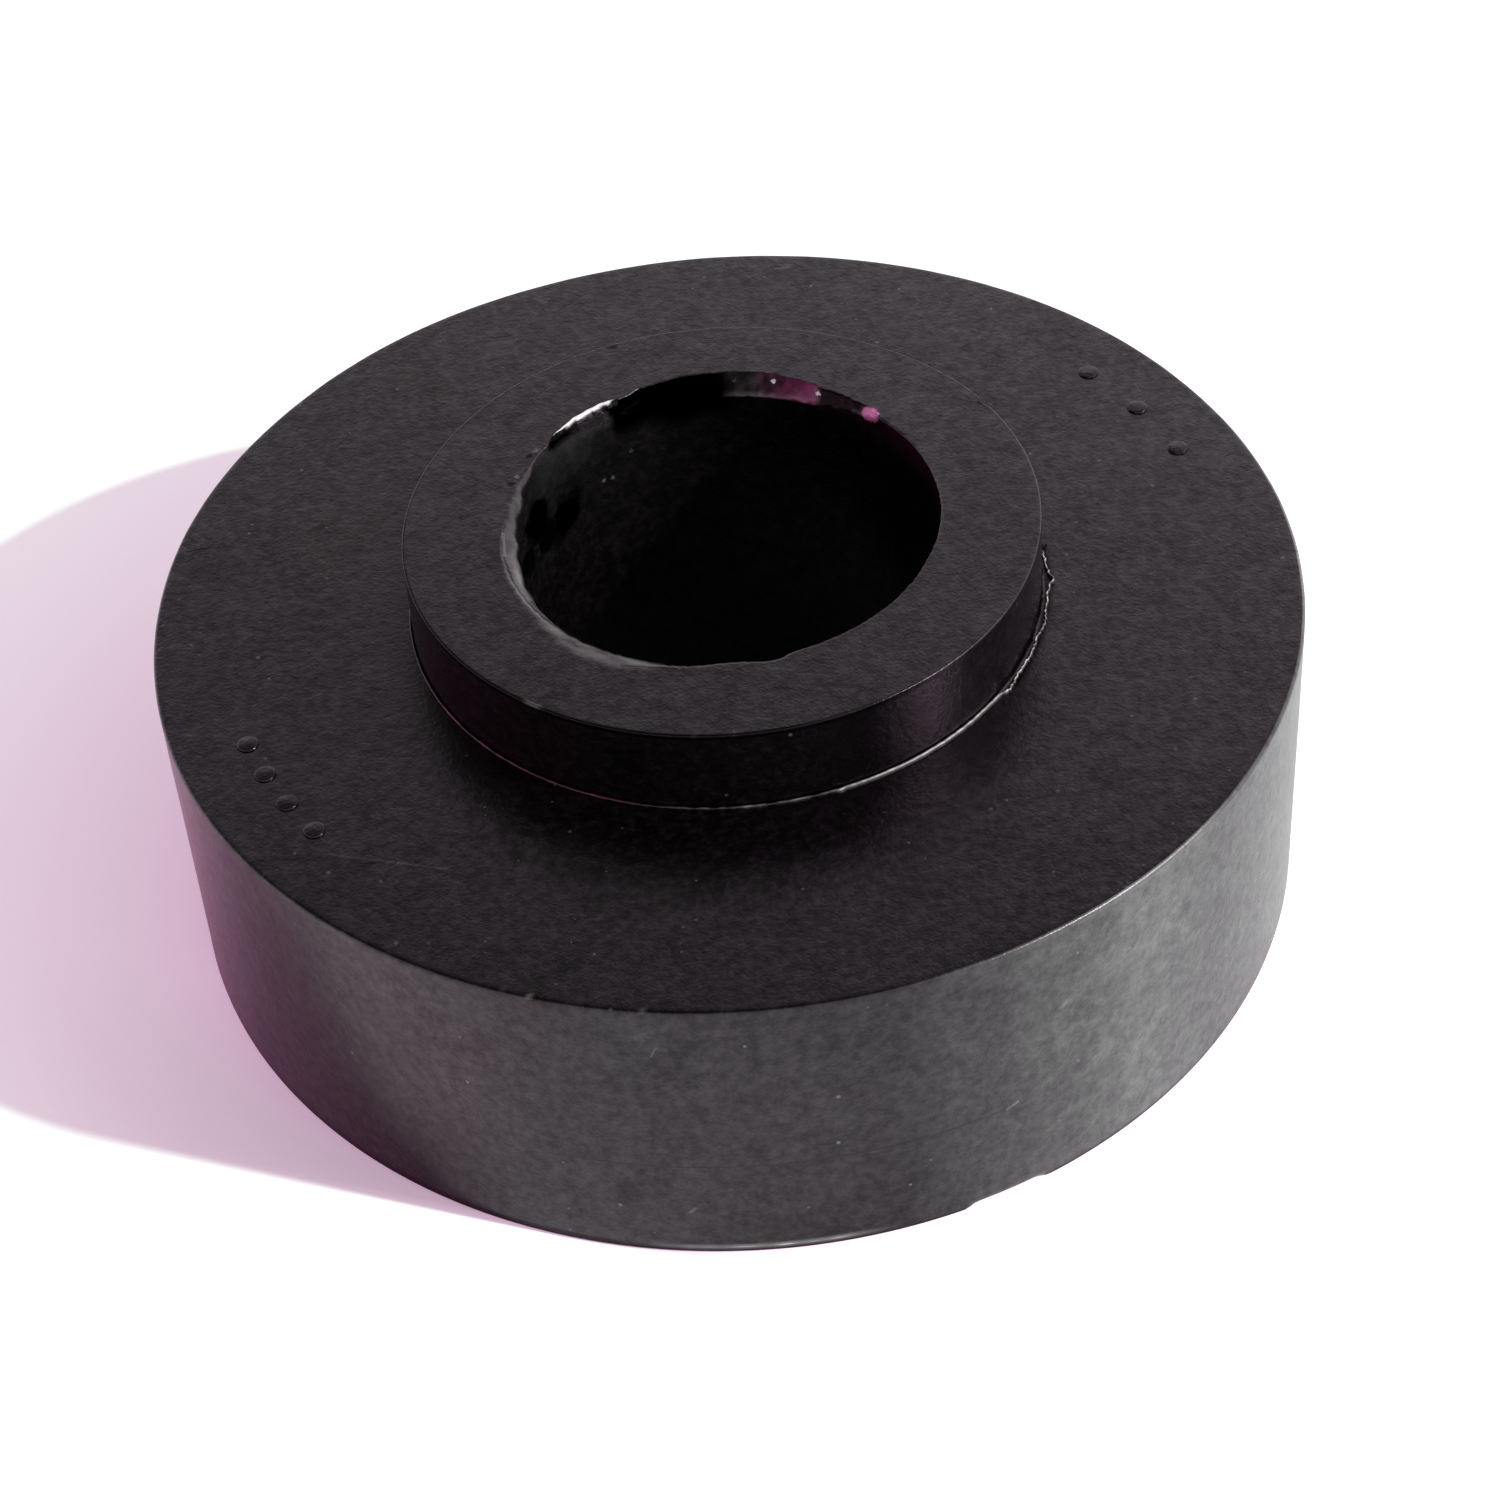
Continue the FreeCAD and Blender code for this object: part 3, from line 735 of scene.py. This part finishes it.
dots_mesh.materials.append(rubber)
cavity_dots = bpy.data.objects.new("cavity_dots", dots_mesh)
bpy.context.scene.collection.objects.link(cavity_dots)
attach(cavity_dots, "root")


# Studio
# The cushion stands on a white paper sheet under one hard lamp from the right, with a white wall low behind
# it. Its shadow falls to the left; the sheet paints a magenta cast into it, paints it darker toward its near
# edge, and paints the lit side glaring white to the camera.
FLOOR_HALF = 3.0
floor_mesh = bmesh.new()
bmesh.ops.create_grid(floor_mesh, x_segments=1, y_segments=1, size=FLOOR_HALF)
floor_data = bpy.data.meshes.new("floor")
floor_mesh.to_mesh(floor_data)
floor_mesh.free()
floor = bpy.data.objects.new("floor", floor_data)
bpy.context.scene.collection.objects.link(floor)

LAMP_DIRECTION = 340
LAMP_ELEVATION = 34.3
LAMP_POWER = 3.6
LAMP_WIDTH = 1.6
paper = bpy.data.materials.new("paper_floor")
paper.use_nodes = True
tree = paper.node_tree
tree.nodes.clear()
place = add_node(tree, "ShaderNodeTexCoord").outputs["Object"]
from_middle = vector_node(tree, "LENGTH", place, output=1)
clear_of_disc = mapped(tree, from_middle, disc_radius - 0.8 * MM, disc_radius)
across_light = turned(LAMP_DIRECTION - 90, 1, 0)
toward_edge = vector_node(tree, "DOT_PRODUCT", place, across_light, output=1)
rays = add_node(tree, "ShaderNodeLightPath")


def shadow_dim(start, full, strength, lit_from, lit_to, reach):
    """Painted shade: how much darker the shadow is painted toward its near edge and close to the foot."""
    shares = [mapped(tree, toward_edge, start * disc_radius, full * disc_radius, 0.0, strength),
              mapped(tree, toward_edge, disc_radius + lit_from, disc_radius + lit_to, 1.0, 0.0),
              mapped(tree, from_middle, disc_radius, disc_radius + reach, 1.0, 0.0)]
    return math_node(tree, "MULTIPLY", math_node(tree, "MULTIPLY", shares[0], shares[1]), shares[2])


looked_at_dim = shadow_dim(0.60, 0.95, 0.22, -0.6 * MM, 0.1 * MM, 12 * MM)
# Painted reflection: where the cushion's side mirrors the shadow, the sheet is painted darker and pinker
mirrored_dim = shadow_dim(0.30, 0.75, 0.53, 1.0 * MM, 3.6 * MM, 30 * MM)
down_light = turned(LAMP_DIRECTION + 180, 1, 0)
from_lamp = vector_node(tree, "DOT_PRODUCT", place, down_light, output=1)
behind = mapped(tree, from_lamp, 0.05 * disc_radius, 0.30 * disc_radius)
mirrored = math_node(tree, "MULTIPLY", rays.outputs["Is Glossy Ray"], behind)
dim = math_node(tree, "MULTIPLY_ADD", mirrored,
                math_node(tree, "SUBTRACT", mirrored_dim, looked_at_dim), looked_at_dim)

# Painted light: the sheet in front and toward the lamp is painted glaring white to the camera
GLARE = 2.2
glare = mapped(tree, toward_edge, disc_radius, disc_radius + 1 * MM, 1.0, GLARE)
glare = math_node(tree, "MAXIMUM", glare,
                  mapped(tree, from_lamp, -0.30 * disc_radius, -0.12 * disc_radius, GLARE, 1.0))
glare = math_node(tree, "POWER", glare, rays.outputs["Is Camera Ray"])
lift = math_node(tree, "MULTIPLY", clear_of_disc, math_node(tree, "SUBTRACT", 1.0, dim))
lift = math_node(tree, "MULTIPLY", lift, glare)

# Paper: plain to light that spreads, and tinted and lifted by a glow where it is looked at or mirrored,
# which paints the shadow's magenta cast and paints the paper under the disc's rim darker
plain_paper = (0.80, 0.80, 0.80, 1)
paper_under_disc = (0.55, 0.55, 0.55, 1)
paper_in_open = (0.60, 0.90, 0.70, 1)
shadow_glow = (0.468, 0.181, 0.380, 1)
mirrored_glow = (0.470, 0.060, 0.300, 1)
no_light = (0, 0, 0, 1)
glow = mixed(tree, mirrored, shadow_glow, mirrored_glow)
plain = add_node(tree, "ShaderNodeBsdfDiffuse", {"Color": plain_paper})
paper_colour = mixed(tree, clear_of_disc, paper_under_disc, paper_in_open)
shaded_paper = mixed(tree, dim, paper_colour, no_light)
tinted = add_node(tree, "ShaderNodeBsdfDiffuse", {"Color": shaded_paper})
lifted = add_node(tree, "ShaderNodeEmission", {"Color": glow, "Strength": lift})
seen = add_node(tree, "ShaderNodeAddShader", {0: tinted.outputs[0], 1: lifted.outputs[0]})
looked_at = math_node(tree, "MAXIMUM", rays.outputs["Is Camera Ray"], rays.outputs["Is Glossy Ray"])
sheet = add_node(tree, "ShaderNodeMixShader", {0: looked_at, 1: plain.outputs[0], 2: seen.outputs[0]})
tree.links.new(sheet.outputs[0], add_node(tree, "ShaderNodeOutputMaterial").inputs["Surface"])
floor_data.materials.append(paper)

# Wall behind: a low white band, brighter at its foot and its left end, under a dim ceiling
world = bpy.data.worlds.new("studio")
bpy.context.scene.world = world
world.use_nodes = True
tree = world.node_tree
tree.nodes.clear()
direction = add_node(tree, "ShaderNodeTexCoord").outputs["Generated"]
WALL_LEAN = -0.25
above_wall = vector_node(tree, "DOT_PRODUCT", direction, (WALL_LEAN, 0, 1), output=1)
wall = mapped(tree, above_wall, 0.565, 0.690, 1.06, 0.43)
wall_foot = mapped(tree, above_wall, 0.555, 0.600, 1.25, 0.94)
ceiling = mapped(tree, above_wall, 0.75, 0.88, 1.0, 0.35)
sideways = add_node(tree, "ShaderNodeSeparateXYZ", {0: direction}).outputs["X"]
left_end = mapped(tree, sideways, -0.18, -0.12, 1.24, 1.0)
left = mapped(tree, sideways, -0.11, -0.02, 0.77, 0.93)
right_end = mapped(tree, sideways, 0.09, 0.17, 1.0, 1.10)
for share in (wall_foot, ceiling, left_end, left, right_end):
    wall = math_node(tree, "MULTIPLY", wall, share)
rays = add_node(tree, "ShaderNodeLightPath")
strength = math_node(tree, "MAXIMUM", wall, rays.outputs["Is Camera Ray"])
sky = add_node(tree, "ShaderNodeBackground", {"Color": (1, 1, 1, 1), "Strength": strength})
tree.links.new(sky.outputs[0], add_node(tree, "ShaderNodeOutputWorld").inputs["Surface"])

lamp_data = bpy.data.lights.new("key_lamp", "SUN")
lamp_data.energy = LAMP_POWER
lamp_data.angle = math.radians(LAMP_WIDTH)
lamp = bpy.data.objects.new("key_lamp", lamp_data)
lamp.rotation_euler = (0, math.radians(90 - LAMP_ELEVATION), math.radians(LAMP_DIRECTION))
bpy.context.scene.collection.objects.link(lamp)

# Camera: close above the cushion, tipped down by 43 degrees and rolled a little
CAMERA_DOWN = 43.14
CAMERA_ROLL = -4.39
CAMERA_PLACE = (0.00064, -0.14705, 0.14397)
LENS = 83.72
camera_data = bpy.data.cameras.new("camera")
camera_data.sensor_width = 36
camera_data.lens = LENS
camera_data.clip_start = 0.01
camera = bpy.data.objects.new("camera", camera_data)
tip = Matrix.Rotation(math.radians(90 - CAMERA_DOWN), 4, "X")
roll = Matrix.Rotation(math.radians(CAMERA_ROLL), 4, "Z")
camera.matrix_world = Matrix.Translation(CAMERA_PLACE) @ tip @ roll
bpy.context.scene.collection.objects.link(camera)
bpy.context.scene.camera = camera

bpy.context.scene.view_settings.view_transform = "Standard"
